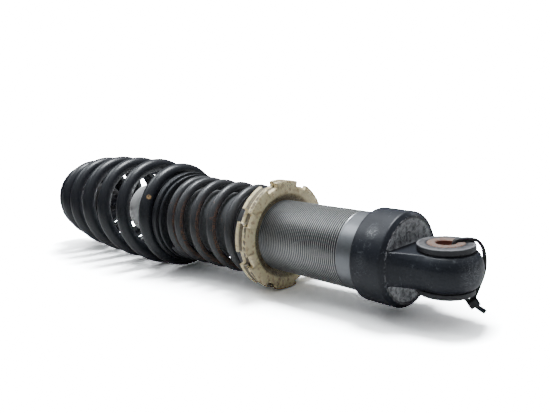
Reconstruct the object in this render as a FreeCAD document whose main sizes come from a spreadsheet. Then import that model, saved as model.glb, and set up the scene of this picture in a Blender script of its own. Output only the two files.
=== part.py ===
import FreeCAD, Part
import Sketcher
import math
import os

# Rear shock absorber: a monotube damper inside a tender spring and a main spring.
#
# Frame: millimetres. The origin is the centre of the upper eye's bore, Z is the axis of that bore,
# and +X runs down the shock's axis to the lower eye. Stations along X are measured from the upper eye.
# The damper is drawn fully extended.

doc = FreeCAD.newDocument("rear_shock_absorber")

# ---------------------------------------------------------------- driving dimensions

DIMENSIONS = {
    # upper eye and cap
    "eye_half_width": 9.0,
    "eye_face_radius": 14.8,
    "eye_crown_radius": 18.3,
    "eye_bush_radius": 12.0,
    "cap_front": 20.2,
    "cap_rear": 41.5,
    "cap_radius": 26.0,
    "cap_face_radius": 23.5,
    "cap_dish_radius": 22.8,
    "cap_dish_floor": 22.4,
    "screw_station": 29.0,
    # flanged bushes and steel sleeves, the same at both ends
    "flange_radius": 14.5,
    "flange_inner": 9.7,
    "flange_outer": 12.7,
    "shoulder_radius": 13.6,
    "sleeve_radius": 9.5,
    "sleeve_bore_radius": 5.1,
    "sleeve_half_length": 13.0,
    # damper tube and threaded sleeve
    "tube_top": 33.0,
    "tube_end": 274.0,
    "tube_radius": 20.0,
    "tube_bore_radius": 18.0,
    "body_radius": 22.5,
    "body_end": 226.0,
    "thread_start": 52.0,
    "thread_pitch": 1.5,
    "thread_depth": 0.85,
    "thread_turns": 51,
    # collar
    "lock_front": 113.0,
    "lock_rear": 116.7,
    "adjuster_front": 116.9,
    "adjuster_step": 119.9,
    "adjuster_rear": 123.0,
    "collar_radius": 35.2,
    "collar_root_radius": 32.0,
    "collar_bore_radius": 22.56,
    "notch_width": 8.5,
    "notch_count": 8,
    "lock_notch_angle": 26.5,
    "adjuster_notch_angle": 30.5,
    "washer_rear": 124.3,
    # springs
    "tender_wire_radius": 3.15,
    "main_wire_radius": 5.2,
    "tender_end": 210.4,
    "main_start": 219.5,
    "main_end": 382.0,
    # coupler
    "coupler_small_radius": 32.2,
    "coupler_large_radius": 33.8,
    "coupler_groove_radius": 30.8,
    "guide_bore_radius": 22.6,
    "guide_outer_radius": 24.0,
    # seal head and rod
    "seal_head_top": 250.0,
    "seal_head_end": 270.0,
    "rod_radius": 6.0,
    "rod_stud_radius": 4.0,
    "end_cap_end": 276.5,
    "piston_top": 233.0,
    "piston_end": 243.0,
    "floating_top": 118.0,
    "floating_end": 134.0,
    # lower end
    "bump_top": 343.0,
    "bump_end": 365.0,
    "seat_end": 386.0,
    "lower_eye": 405.0,
}

sizes = doc.addObject("Spreadsheet::Sheet", "Sizes")
for row, (alias, value) in enumerate(DIMENSIONS.items(), start=1):
    sizes.set(f"A{row}", alias)
    sizes.set(f"B{row}", str(value))
    sizes.setAlias(f"B{row}", alias)
doc.recompute()


def size(alias):
    """A driving dimension, read from the sheet."""
    return float(sizes.get(alias))


def in_sheet(expression):
    """The expression with every driving dimension's name pointed at the sheet."""
    words = []
    for word in expression.split():
        words.append(f"Sizes.{word}" if word in DIMENSIONS else word)
    return " ".join(words)


# ---------------------------------------------------------------- ways of making a piece

parts = []


def new_body(label):
    body = doc.addObject("PartDesign::Body", label)
    body.Label = label
    parts.append(body)
    return body


def origin_plane(body, role):
    return [plane for plane in body.Origin.OriginFeatures if plane.Role == role][0]


def new_sketch(body, name, role):
    sketch = body.newObject("Sketcher::SketchObject", name)
    sketch.AttachmentSupport = [(origin_plane(body, role), "")]
    sketch.MapMode = "FlatFace"
    return sketch


def bind(sketch, kind, geometry, point, expression):
    """Tie one coordinate of a sketch point to an expression of the sheet."""
    bound = in_sheet(expression)
    value = float(sketch.evalExpression(bound))
    index = sketch.addConstraint(Sketcher.Constraint(kind, -1, 1, geometry, point, value))
    sketch.setExpression(f"Constraints[{index}]", bound)


def outline(sketch, corners):
    """A closed polygon whose corners are pairs of expressions; 0 puts a corner on the sketch's H axis."""
    places = []
    for along, across in corners:
        first = float(sketch.evalExpression(in_sheet(along)))
        second = float(sketch.evalExpression(in_sheet(across)))
        places.append(FreeCAD.Vector(first, second, 0))
    first_line = sketch.GeometryCount
    count = len(places)
    for index in range(count):
        line = Part.LineSegment(places[index], places[(index + 1) % count])
        sketch.addGeometry(line, False)
    for index in range(count):
        here = first_line + index
        following = first_line + (index + 1) % count
        sketch.addConstraint(Sketcher.Constraint("Coincident", here, 2, following, 1))
    for index, (along, across) in enumerate(corners):
        bind(sketch, "DistanceX", first_line + index, 1, along)
        if across == "0":
            sketch.addConstraint(Sketcher.Constraint("PointOnObject", first_line + index, 1, -1))
        else:
            bind(sketch, "DistanceY", first_line + index, 1, across)


def circle(sketch, along, across, radius):
    """A circle whose centre and radius are expressions; 0, 0 puts it on the sketch's origin."""
    centre_x = float(sketch.evalExpression(in_sheet(along)))
    centre_y = float(sketch.evalExpression(in_sheet(across)))
    value = float(sketch.evalExpression(in_sheet(radius)))
    centre = FreeCAD.Vector(centre_x, centre_y, 0)
    ring = sketch.addGeometry(Part.Circle(centre, FreeCAD.Vector(0, 0, 1), value), False)
    if along == "0" and across == "0":
        sketch.addConstraint(Sketcher.Constraint("Coincident", ring, 3, -1, 1))
    else:
        bind(sketch, "DistanceX", ring, 3, along)
        bind(sketch, "DistanceY", ring, 3, across)
    index = sketch.addConstraint(Sketcher.Constraint("Radius", ring, value))
    sketch.setExpression(f"Constraints[{index}]", in_sheet(radius))


def revolve(body, name, corners, about="H_Axis"):
    """Turn an outline in the XZ plane: about H_Axis is about X, about V_Axis is about Z."""
    sketch = new_sketch(body, f"{name}_outline", "XZ_Plane")
    outline(sketch, corners)
    turned = body.newObject("PartDesign::Revolution", name)
    turned.Profile = (sketch, [""])
    turned.ReferenceAxis = (sketch, [about])
    turned.Angle = 360.0
    return turned


def groove(body, name, corners, about="H_Axis"):
    """Cut a turned outline out of the body."""
    sketch = new_sketch(body, f"{name}_outline", "XZ_Plane")
    outline(sketch, corners)
    cut = body.newObject("PartDesign::Groove", name)
    cut.Profile = (sketch, [""])
    cut.ReferenceAxis = (sketch, [about])
    cut.Angle = 360.0
    return cut


def turned(label, corners):
    """A piece turned about the shock's axis."""
    body = new_body(label)
    revolve(body, f"{label}_turned", corners)
    return body


def pad(body, name, sketch, length):
    """Pad a sketch the same way to both sides of its plane."""
    feature = body.newObject("PartDesign::Pad", name)
    feature.Profile = (sketch, [""])
    feature.Midplane = True
    feature.setExpression("Length", in_sheet(length))
    return feature


def drill(body, name, sketch, length):
    """Cut a sketch the same way to both sides of its plane."""
    feature = body.newObject("PartDesign::Pocket", name)
    feature.Profile = (sketch, [""])
    feature.Midplane = True
    feature.setExpression("Length", in_sheet(length))
    return feature


def pattern_about_x(body, name, feature, count):
    """Repeat a feature all round the shock's axis."""
    pattern = body.newObject("PartDesign::PolarPattern", name)
    pattern.Originals = [feature]
    pattern.Axis = (feature.Profile[0], ["N_Axis"])
    pattern.Angle = 360.0
    pattern.setExpression("Occurrences", in_sheet(count))
    body.Tip = pattern
    return pattern


def o_ring(label, station, ring_radius, cord_radius):
    """A rubber ring about the shock's axis."""
    ring = doc.addObject("Part::Torus", label)
    ring.Label = label
    ring.setExpression("Radius1", in_sheet(ring_radius))
    ring.setExpression("Radius2", in_sheet(cord_radius))
    ring.Placement = FreeCAD.Placement(FreeCAD.Vector(), FreeCAD.Rotation(FreeCAD.Vector(0, 1, 0), 90))
    ring.setExpression("Placement.Base.x", in_sheet(station))
    parts.append(ring)
    return ring


# ---------------------------------------------------------------- eyes

def eye_barrel(body, name, centre, face_radius, crown_radius):
    """The round end of an eye. Its rim is crowned, in straight facets that stand for the bulge."""
    corners = [
        ("0.001", "- eye_half_width"),
        (face_radius, "- eye_half_width"),
        (f"{face_radius} * 0.48 + {crown_radius} * 0.52", "- eye_half_width * 0.78"),
        (f"{face_radius} * 0.18 + {crown_radius} * 0.82", "- eye_half_width * 0.52"),
        (crown_radius, "- eye_half_width * 0.2"),
        (crown_radius, "eye_half_width * 0.2"),
        (f"{face_radius} * 0.18 + {crown_radius} * 0.82", "eye_half_width * 0.52"),
        (f"{face_radius} * 0.48 + {crown_radius} * 0.52", "eye_half_width * 0.78"),
        (face_radius, "eye_half_width"),
        ("0.001", "eye_half_width"),
    ]
    barrel = revolve(body, name, corners, about="V_Axis")
    if centre != "0":
        barrel.Profile[0].setExpression("AttachmentOffset.Base.x", in_sheet(centre))
    return barrel


# The lug from the eye to the cap: station, then half widths at its edge, its shoulder and its middle.
LUG_SECTIONS = [
    (-2.0, 14.3, 16.3, 17.8),
    (6.0, 15.5, 17.2, 18.4),
    (12.0, 17.1, 18.5, 19.4),
    (16.0, 18.5, 19.8, 20.6),
    (19.0, 20.2, 21.3, 22.0),
    (21.4, 21.7, 22.8, 23.4),
]


def upper_eye_cap():
    """Forged cap: a cup over the tube's end, a bevelled and slightly dished end face, and a lug to the eye."""
    body = new_body("upper_eye_cap")
    revolve(body, "cup", [
        ("cap_front", "cap_dish_radius"),
        ("cap_front", "cap_face_radius"),
        ("cap_front + 2.0", "cap_radius"),
        ("cap_rear - 1.0", "cap_radius"),
        ("cap_rear", "cap_radius - 1.0"),
        ("cap_rear", "tube_radius + 0.03"),
        ("tube_top + 5.0", "tube_radius + 0.03"),
        ("tube_top + 5.0", "tube_radius + 1.3"),
        ("tube_top + 3.0", "tube_radius + 1.3"),
        ("tube_top + 3.0", "tube_radius + 0.03"),
        ("tube_top", "tube_radius + 0.03"),
        ("tube_top", "0"),
        ("cap_dish_floor", "0"),
        ("cap_dish_floor - 0.3", "cap_dish_radius - 10.0"),
        ("cap_dish_floor - 0.8", "cap_dish_radius - 4.0"),
        ("cap_front + 0.9", "cap_dish_radius - 0.5"),
    ])
    lug = []
    for number, (station, edge, shoulder, middle) in enumerate(LUG_SECTIONS):
        section = new_sketch(body, f"lug_section_{number}", "YZ_Plane")
        section.AttachmentOffset = FreeCAD.Placement(FreeCAD.Vector(0, 0, station), FreeCAD.Rotation())
        right = [
            (f"{edge}", "- eye_half_width"),
            (f"{shoulder}", "- eye_half_width * 0.72"),
            (f"{middle}", "- eye_half_width * 0.30"),
            (f"{middle}", "eye_half_width * 0.30"),
            (f"{shoulder}", "eye_half_width * 0.72"),
            (f"{edge}", "eye_half_width"),
        ]
        left = [(f"- {across}", up) for across, up in reversed(right)]
        outline(section, right + left)
        lug.append(section)
    loft = body.newObject("PartDesign::AdditiveLoft", "lug")
    loft.Profile = (lug[0], [""])
    loft.Sections = [(section, [""]) for section in lug[1:]]
    loft.Ruled = True
    eye_barrel(body, "barrel", "0", "eye_face_radius", "eye_crown_radius")
    bush_hole = new_sketch(body, "bush_hole_outline", "XY_Plane")
    circle(bush_hole, "0", "0", "eye_bush_radius")
    drill(body, "bush_hole", bush_hole, "eye_half_width * 2 + 4")
    gas_passage = new_sketch(body, "gas_passage_outline", "YZ_Plane")
    circle(gas_passage, "0", "0", "1.0")
    passage = body.newObject("PartDesign::Pocket", "gas_passage")
    passage.Profile = (gas_passage, [""])
    passage.Reversed = True
    passage.setExpression("Length", in_sheet("tube_top + 1"))
    gas_passage.AttachmentOffset = FreeCAD.Placement(FreeCAD.Vector(0, 0, 30), FreeCAD.Rotation())
    screw_hole = new_sketch(body, "screw_hole_outline", "XZ_Plane")
    circle(screw_hole, "screw_station", "0", "2.5")
    hole = body.newObject("PartDesign::Pocket", "screw_hole")
    hole.Profile = (screw_hole, [""])
    hole.setExpression("Length", in_sheet("cap_radius + 1"))
    hole.Reversed = True
    return body


def flanged_bushes(prefix, centre):
    """A pair of black flanged bushes pressed into an eye, one from each face."""
    for side, sign in (("top", ""), ("bottom", "- ")):
        body = new_body(f"{prefix}_bush_{side}")
        turned_bush = revolve(body, f"{prefix}_bush_{side}_turned", [
            ("sleeve_radius + 0.05", f"{sign}0.4"),
            ("eye_bush_radius", f"{sign}0.4"),
            ("eye_bush_radius", f"{sign}eye_half_width"),
            ("shoulder_radius", f"{sign}eye_half_width"),
            ("shoulder_radius", f"{sign}flange_inner"),
            ("flange_radius - 0.3", f"{sign}flange_inner"),
            ("flange_radius", f"{sign}( flange_inner + 0.3 )"),
            ("flange_radius", f"{sign}( flange_outer - 0.4 )"),
            ("flange_radius - 0.5", f"{sign}flange_outer"),
            ("sleeve_radius + 0.05", f"{sign}flange_outer"),
        ], about="V_Axis")
        if centre != "0":
            turned_bush.Profile[0].setExpression("AttachmentOffset.Base.x", in_sheet(centre))


def eye_sleeve(label, centre):
    """The steel sleeve that the mounting bolt clamps."""
    body = new_body(label)
    sleeve = revolve(body, f"{label}_turned", [
        ("sleeve_bore_radius", "- sleeve_half_length + 0.5"),
        ("sleeve_bore_radius + 0.5", "- sleeve_half_length"),
        ("sleeve_radius - 0.4", "- sleeve_half_length"),
        ("sleeve_radius", "- sleeve_half_length + 0.4"),
        ("sleeve_radius", "sleeve_half_length - 0.4"),
        ("sleeve_radius - 0.4", "sleeve_half_length"),
        ("sleeve_bore_radius + 0.5", "sleeve_half_length"),
        ("sleeve_bore_radius", "sleeve_half_length - 0.5"),
    ], about="V_Axis")
    if centre != "0":
        sleeve.Profile[0].setExpression("AttachmentOffset.Base.x", in_sheet(centre))


def lower_eye():
    """Lower eye: a barrel, a neck that takes the rod's thread, and a shoulder for the spring seat."""
    body = new_body("lower_eye")
    revolve(body, "neck", [
        ("seat_end - 13", "rod_radius"),
        ("seat_end - 13", "12.0"),
        ("seat_end - 12", "13.0"),
        ("seat_end", "13.0"),
        ("seat_end", "19.0"),
        ("seat_end + 1", "20.0"),
        ("seat_end + 2.5", "20.0"),
        ("seat_end + 3.8", "16.0"),
        ("seat_end + 3.8", "0"),
        ("seat_end - 1", "0"),
        ("seat_end - 1", "rod_radius"),
    ])
    lug = new_sketch(body, "lug_outline", "XY_Plane")
    outline(lug, [
        ("seat_end + 2", "- 16.0"),
        ("lower_eye - 8", "- 14.6"),
        ("lower_eye", "- 14.6"),
        ("lower_eye", "14.6"),
        ("lower_eye - 8", "14.6"),
        ("seat_end + 2", "16.0"),
    ])
    pad(body, "lug", lug, "eye_half_width * 2")
    eye_barrel(body, "barrel", "lower_eye", "15.0", "16.2")
    bush_hole = new_sketch(body, "bush_hole_outline", "XY_Plane")
    circle(bush_hole, "lower_eye", "0.001", "eye_bush_radius")
    drill(body, "bush_hole", bush_hole, "eye_half_width * 2 + 4")
    return body


def gas_charge_screw():
    """The screw that closes the gas charging hole, on the cap's far side, with a hexagon socket."""
    body = new_body("gas_charge_screw")
    shank = new_sketch(body, "shank_outline", "XZ_Plane")
    circle(shank, "screw_station", "0.001", "2.45")
    shank.AttachmentOffset = FreeCAD.Placement(FreeCAD.Vector(0, 0, 14), FreeCAD.Rotation())
    stem = body.newObject("PartDesign::Pad", "stem")
    stem.Profile = (shank, [""])
    stem.setExpression("Length", in_sheet("cap_radius - 14 + 0.8"))
    head = new_sketch(body, "head_outline", "XZ_Plane")
    circle(head, "screw_station", "0.001", "2.9")
    head.AttachmentOffset = FreeCAD.Placement(FreeCAD.Vector(0, 0, 26.8), FreeCAD.Rotation())
    cap = body.newObject("PartDesign::Pad", "screw_head")
    cap.Profile = (head, [""])
    cap.Length = 1.6
    socket = new_sketch(body, "socket_outline", "XZ_Plane")
    hexagon = []
    for step in range(6):
        turn = math.radians(60 * step)
        hexagon.append((f"screw_station + {1.5 * math.cos(turn):.4f}", f"{1.5 * math.sin(turn) + 0.001:.4f}"))
    outline(socket, hexagon)
    socket.AttachmentOffset = FreeCAD.Placement(FreeCAD.Vector(0, 0, 28.4), FreeCAD.Rotation())
    recess = body.newObject("PartDesign::Pocket", "socket")
    recess.Profile = (socket, [""])
    recess.Length = 2.0
    return body


# ---------------------------------------------------------------- damper, fixed pieces

def damper_tube():
    return turned("damper_tube", [
        ("tube_top", "tube_bore_radius"),
        ("tube_top", "tube_radius"),
        ("tube_end - 0.6", "tube_radius"),
        ("tube_end", "tube_radius - 0.6"),
        ("tube_end", "tube_bore_radius"),
    ])


def threaded_sleeve():
    """Aluminium sleeve on the tube, smooth but for its fine thread, which is cut as one ring per turn."""
    body = new_body("threaded_sleeve")
    revolve(body, "sleeve", [
        ("cap_rear + 0.1", "tube_radius + 0.02"),
        ("cap_rear + 0.1", "body_radius"),
        ("body_end - 0.8", "body_radius"),
        ("body_end", "body_radius - 0.8"),
        ("body_end", "tube_radius + 0.02"),
    ])
    thread_cut = groove(body, "thread_cut", [
        ("thread_start", "body_radius + 0.2"),
        ("thread_start + thread_pitch / 2", "body_radius - thread_depth"),
        ("thread_start + thread_pitch", "body_radius + 0.2"),
    ])
    thread = body.newObject("PartDesign::LinearPattern", "thread")
    thread.Originals = [thread_cut]
    thread.Direction = (thread_cut.Profile[0], ["H_Axis"])
    thread.setExpression("Length", in_sheet("thread_pitch * ( thread_turns - 1 )"))
    thread.setExpression("Occurrences", in_sheet("thread_turns"))
    body.Tip = thread
    return body


def seal_head():
    """Rod guide carrier, held in the tube's end by a circlip; grooves for its o-ring, seal and wiper."""
    return turned("seal_head", [
        ("seal_head_top", "7.6"),
        ("seal_head_top", "tube_bore_radius - 0.05"),
        ("seal_head_top + 6.0", "tube_bore_radius - 0.05"),
        ("seal_head_top + 6.0", "tube_bore_radius - 2.2"),
        ("seal_head_top + 9.0", "tube_bore_radius - 2.2"),
        ("seal_head_top + 9.0", "tube_bore_radius - 0.05"),
        ("seal_head_end", "tube_bore_radius - 0.05"),
        ("seal_head_end", "10.5"),
        ("seal_head_end - 5.0", "10.5"),
        ("seal_head_end - 5.0", "9.0"),
        ("seal_head_end - 8.5", "9.0"),
        ("seal_head_end - 8.5", "7.6"),
    ])


def end_cap():
    """Bright dust cap pressed over the tube's end, with a turned groove and a chamfer."""
    return turned("end_cap", [
        ("seal_head_end + 2.2", "7.0"),
        ("seal_head_end + 2.2", "tube_bore_radius - 0.05"),
        ("tube_end + 0.02", "tube_bore_radius - 0.05"),
        ("tube_end + 0.02", "tube_radius - 0.1"),
        ("end_cap_end - 1.2", "tube_radius - 0.1"),
        ("end_cap_end", "tube_radius - 1.3"),
        ("end_cap_end", "14.0"),
        ("end_cap_end - 0.8", "12.0"),
        ("end_cap_end - 0.8", "7.0"),
    ])


def small_rings():
    """Seals, bushes and rings that are turned or moulded about the shock's axis."""
    o_ring("cap_o_ring", "tube_top + 4.0", "tube_radius + 0.66", "0.6")
    o_ring("seal_head_o_ring", "seal_head_top + 7.5", "tube_bore_radius - 1.15", "1.0")
    o_ring("floating_piston_o_ring", "floating_top + 11.0", "tube_bore_radius - 1.05", "1.0")
    turned("rod_guide_bush", [
        ("seal_head_top + 0.5", "rod_radius + 0.03"),
        ("seal_head_top + 0.5", "7.58"),
        ("seal_head_end - 9.0", "7.58"),
        ("seal_head_end - 9.0", "rod_radius + 0.03"),
    ])
    turned("rod_seal", [
        ("seal_head_end - 8.3", "rod_radius + 0.02"),
        ("seal_head_end - 8.3", "8.95"),
        ("seal_head_end - 5.2", "8.95"),
        ("seal_head_end - 5.2", "8.0"),
        ("seal_head_end - 6.6", "7.5"),
        ("seal_head_end - 5.2", "7.0"),
        ("seal_head_end - 5.2", "rod_radius + 0.02"),
    ])
    turned("rod_wiper", [
        ("seal_head_end - 4.8", "rod_radius + 0.6"),
        ("seal_head_end - 4.8", "10.45"),
        ("seal_head_end - 0.4", "10.45"),
        ("seal_head_end - 0.4", "8.6"),
        ("seal_head_end + 1.6", "rod_radius + 0.5"),
        ("seal_head_end + 1.6", "rod_radius + 0.02"),
        ("seal_head_end - 1.5", "rod_radius + 0.6"),
    ])
    turned("seal_head_circlip", [
        ("seal_head_end + 0.1", "tube_bore_radius - 2.0"),
        ("seal_head_end + 0.1", "tube_bore_radius - 0.02"),
        ("seal_head_end + 1.9", "tube_bore_radius - 0.02"),
        ("seal_head_end + 1.9", "tube_bore_radius - 2.0"),
    ])
    turned("top_out_bumper", [
        ("seal_head_top - 4.0", "7.0"),
        ("seal_head_top - 4.0", "12.0"),
        ("seal_head_top - 3.0", "13.0"),
        ("seal_head_top - 0.1", "13.0"),
        ("seal_head_top - 0.1", "7.0"),
    ])
    turned("sleeve_circlip", [
        ("body_end + 0.05", "tube_radius + 0.01"),
        ("body_end + 0.05", "tube_radius + 1.5"),
        ("body_end + 1.45", "tube_radius + 1.5"),
        ("body_end + 1.45", "tube_radius + 0.01"),
    ])


# ---------------------------------------------------------------- collar and coupler

def castellated_ring(label, rear, notch_angle, front_rim, front_bore):
    """A slotted ring that screws on the sleeve: its own front corners, and spanner notches all round."""
    corners = front_rim + [
        (f"{rear} - 0.6", "collar_radius"),
        (rear, "collar_radius - 0.8"),
        (rear, "collar_bore_radius"),
    ] + front_bore
    body = new_body(label)
    revolve(body, f"{label}_blank", corners)
    notch = new_sketch(body, f"{label}_notch_outline", "YZ_Plane")
    outline(notch, [
        ("collar_root_radius", "- notch_width / 2"),
        ("collar_radius + 1", "- notch_width / 2"),
        ("collar_radius + 1", "notch_width / 2"),
        ("collar_root_radius", "notch_width / 2"),
    ])
    turn = FreeCAD.Rotation(FreeCAD.Vector(0, 0, 1), 0)
    notch.AttachmentOffset = FreeCAD.Placement(FreeCAD.Vector(0, 0, 0), turn)
    notch.setExpression("AttachmentOffset.Rotation.Angle", in_sheet(notch_angle))
    cut = body.newObject("PartDesign::Pocket", f"{label}_notch")
    cut.Profile = (notch, [""])
    cut.Reversed = True
    cut.setExpression("Length", in_sheet(f"{rear} + 1"))
    pattern_about_x(body, f"{label}_notches", cut, "notch_count")
    return body


def collar():
    castellated_ring("lock_ring", "lock_rear", "lock_notch_angle", [
        ("lock_front", "collar_radius - 0.8"),
        ("lock_front + 0.6", "collar_radius"),
    ], [
        ("lock_front + 2.4", "collar_bore_radius"),
        ("lock_front + 1.7", "collar_bore_radius + 3.4"),
        ("lock_front", "collar_bore_radius + 4.6"),
    ])
    castellated_ring("preload_ring", "adjuster_rear", "adjuster_notch_angle", [
        ("adjuster_front", "collar_radius - 1.6"),
        ("adjuster_front + 0.8", "collar_radius - 0.8"),
        ("adjuster_step", "collar_radius - 0.8"),
        ("adjuster_step", "collar_radius"),
    ], [
        ("adjuster_front + 0.6", "collar_bore_radius"),
        ("adjuster_front", "collar_bore_radius + 0.6"),
    ])
    turned("thrust_washer", [
        ("adjuster_rear + 0.05", "collar_bore_radius"),
        ("adjuster_rear + 0.05", "30.8"),
        ("washer_rear", "30.8"),
        ("washer_rear", "23.9"),
        ("washer_rear + 9.0", "23.7"),
        ("washer_rear + 10.0", "23.2"),
        ("washer_rear + 10.0", "collar_bore_radius"),
    ])


def coupler():
    turned("spring_coupler", [
        ("tender_end", "guide_outer_radius + 0.02"),
        ("tender_end", "coupler_small_radius - 0.4"),
        ("tender_end + 0.4", "coupler_small_radius"),
        ("tender_end + 2.4", "coupler_small_radius"),
        ("tender_end + 2.8", "coupler_groove_radius"),
        ("tender_end + 3.9", "coupler_groove_radius"),
        ("tender_end + 3.9", "coupler_large_radius - 0.3"),
        ("tender_end + 4.3", "coupler_large_radius"),
        ("main_start - 0.6", "coupler_large_radius"),
        ("main_start", "coupler_large_radius - 0.6"),
        ("main_start", "27.6"),
        ("main_start + 8.0", "27.2"),
        ("main_start + 9.0", "26.2"),
        ("main_start + 9.0", "guide_outer_radius + 0.02"),
    ])
    turned("coupler_guide", [
        ("tender_end - 8.0", "guide_bore_radius"),
        ("tender_end - 8.0", "guide_outer_radius - 0.4"),
        ("tender_end - 7.4", "guide_outer_radius"),
        ("main_start + 9.0", "guide_outer_radius"),
        ("main_start + 9.0", "guide_outer_radius + 1.0"),
        ("main_start + 10.2", "guide_outer_radius + 1.0"),
        ("main_start + 10.2", "guide_bore_radius"),
    ])


# ---------------------------------------------------------------- rod and its pieces

def rod_pieces():
    turned("piston_rod", [
        ("piston_top - 9.0", "0"),
        ("piston_top - 9.0", "rod_stud_radius - 0.6"),
        ("piston_top - 8.4", "rod_stud_radius"),
        ("piston_end + 2.0", "rod_stud_radius"),
        ("piston_end + 2.0", "rod_radius"),
        ("seat_end - 1.6", "rod_radius"),
        ("seat_end - 1.1", "rod_radius - 0.5"),
        ("seat_end - 1.1", "0"),
    ])
    piston()
    turned("piston_band", [
        ("piston_top + 3.0", "tube_bore_radius - 1.15"),
        ("piston_top + 3.0", "tube_bore_radius - 0.03"),
        ("piston_end - 3.0", "tube_bore_radius - 0.03"),
        ("piston_end - 3.0", "tube_bore_radius - 1.15"),
    ])
    shim_stack("compression_shims", "piston_top", "- ", (15.5, 13.5, 11.5, 9.5))
    shim_stack("rebound_shims", "piston_end", "+ ", (14.5, 12.5, 10.5, 8.5))
    hex_nut("piston_nut", "piston_top - 8.2", "6.0", 13.0, "rod_stud_radius")
    hex_nut("rod_lock_nut", "bump_end + 1.6", "5.6", 19.0, "rod_radius")
    turned("bump_stop_washer", [
        ("bump_end + 0.05", "rod_radius + 0.3"),
        ("bump_end + 0.05", "13.0"),
        ("bump_end + 1.55", "13.0"),
        ("bump_end + 1.55", "rod_radius + 0.3"),
    ])
    turned("bump_stop", [
        ("bump_top", "rod_radius + 0.3"),
        ("bump_top", "9.5"),
        ("bump_top + 2.5", "11.5"),
        ("bump_top + 7.0", "12.5"),
        ("bump_top + 9.5", "10.8"),
        ("bump_top + 12.0", "13.0"),
        ("bump_top + 18.0", "13.8"),
        ("bump_end", "13.0"),
        ("bump_end", "rod_radius + 0.3"),
    ])
    turned("lower_spring_seat", [
        ("seat_end - 12.0", "13.1"),
        ("seat_end - 12.0", "20.6"),
        ("seat_end - 11.0", "21.6"),
        ("main_end", "22.0"),
        ("main_end", "29.8"),
        ("main_end + 1.0", "30.6"),
        ("main_end + 2.2", "30.6"),
        ("main_end + 3.4", "29.4"),
        ("seat_end - 0.05", "26.0"),
        ("seat_end - 0.05", "13.1"),
    ])


def piston():
    """Piston on the rod's stud, with a groove for its band and eight oil ports."""
    body = new_body("piston")
    revolve(body, "piston_blank", [
        ("piston_top", "rod_stud_radius"),
        ("piston_top", "tube_bore_radius - 1.2"),
        ("piston_top + 0.8", "tube_bore_radius - 0.3"),
        ("piston_top + 2.9", "tube_bore_radius - 0.3"),
        ("piston_top + 2.9", "tube_bore_radius - 1.2"),
        ("piston_end - 2.9", "tube_bore_radius - 1.2"),
        ("piston_end - 2.9", "tube_bore_radius - 0.3"),
        ("piston_end - 0.8", "tube_bore_radius - 0.3"),
        ("piston_end", "tube_bore_radius - 1.2"),
        ("piston_end", "rod_stud_radius"),
    ])
    port = new_sketch(body, "port_outline", "YZ_Plane")
    circle(port, "11.5", "0.001", "1.9")
    cut = body.newObject("PartDesign::Pocket", "port")
    cut.Profile = (port, [""])
    cut.Reversed = True
    cut.setExpression("Length", in_sheet("piston_end + 1"))
    pattern_about_x(body, "ports", cut, "8")
    return body


def shim_stack(label, face, away, radii):
    """Thin spring-steel discs stacked on a piston face, largest against the piston."""
    thickness = 0.45
    corners = [(f"{face} {away}0.02", "rod_stud_radius")]
    for index, radius in enumerate(radii):
        near = 0.02 + index * thickness
        far = 0.02 + (index + 1) * thickness
        corners.append((f"{face} {away}{near:.2f}", f"{radius}"))
        corners.append((f"{face} {away}{far:.2f}", f"{radius}"))
    corners.append((f"{face} {away}{0.02 + len(radii) * thickness:.2f}", "rod_stud_radius"))
    return turned(label, corners)


def hex_nut(label, start, thickness, across_flats, bore):
    """A plain hexagon nut on the rod."""
    body = new_body(label)
    corner_radius = across_flats / 2 / math.cos(math.radians(30))
    flats = []
    for step in range(6):
        turn = math.radians(60 * step)
        flats.append((f"{corner_radius * math.cos(turn):.4f}", f"{corner_radius * math.sin(turn) + 0.001:.4f}"))
    sketch = new_sketch(body, f"{label}_outline", "YZ_Plane")
    outline(sketch, flats)
    circle(sketch, "0", "0", bore)
    sketch.setExpression("AttachmentOffset.Base.z", in_sheet(start))
    feature = body.newObject("PartDesign::Pad", f"{label}_pad")
    feature.Profile = (sketch, [""])
    feature.setExpression("Length", in_sheet(thickness))
    return body


def floating_piston():
    """Divides the gas behind it from the oil in front, with a groove for its o-ring."""
    return turned("floating_piston", [
        ("floating_top + 5.0", "0"),
        ("floating_top + 5.0", "tube_bore_radius - 4.0"),
        ("floating_top", "tube_bore_radius - 3.0"),
        ("floating_top", "tube_bore_radius - 0.05"),
        ("floating_top + 9.5", "tube_bore_radius - 0.05"),
        ("floating_top + 9.5", "tube_bore_radius - 2.2"),
        ("floating_top + 12.5", "tube_bore_radius - 2.2"),
        ("floating_top + 12.5", "tube_bore_radius - 0.05"),
        ("floating_end", "tube_bore_radius - 0.05"),
        ("floating_end", "0"),
    ])


# ---------------------------------------------------------------- springs

def between(knots, turn):
    """Smooth value at a turn number from (turn, value) knots, with slopes that don't overshoot."""
    for index in range(len(knots) - 1):
        if turn <= knots[index + 1][0] or index == len(knots) - 2:
            break
    slopes = []
    for near in (index, index + 1):
        if near in (0, len(knots) - 1):
            slopes.append(0.0)
            continue
        before = (knots[near][1] - knots[near - 1][1]) / (knots[near][0] - knots[near - 1][0])
        after = (knots[near + 1][1] - knots[near][1]) / (knots[near + 1][0] - knots[near][0])
        slopes.append(0.0 if before * after <= 0 else 2 * before * after / (before + after))
    span = knots[index + 1][0] - knots[index][0]
    share = (turn - knots[index][0]) / span
    start_share = (1 + 2 * share) * (1 - share) ** 2
    end_share = share ** 2 * (3 - 2 * share)
    bend = share * (1 - share) ** 2 * span * slopes[0] - share ** 2 * (1 - share) * span * slopes[1]
    return start_share * knots[index][1] + end_share * knots[index + 1][1] + bend


# Turn numbers are counted from the coil that crosses START_ANGLE nearest the upper end.
START_ANGLE = math.radians(20)


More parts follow.
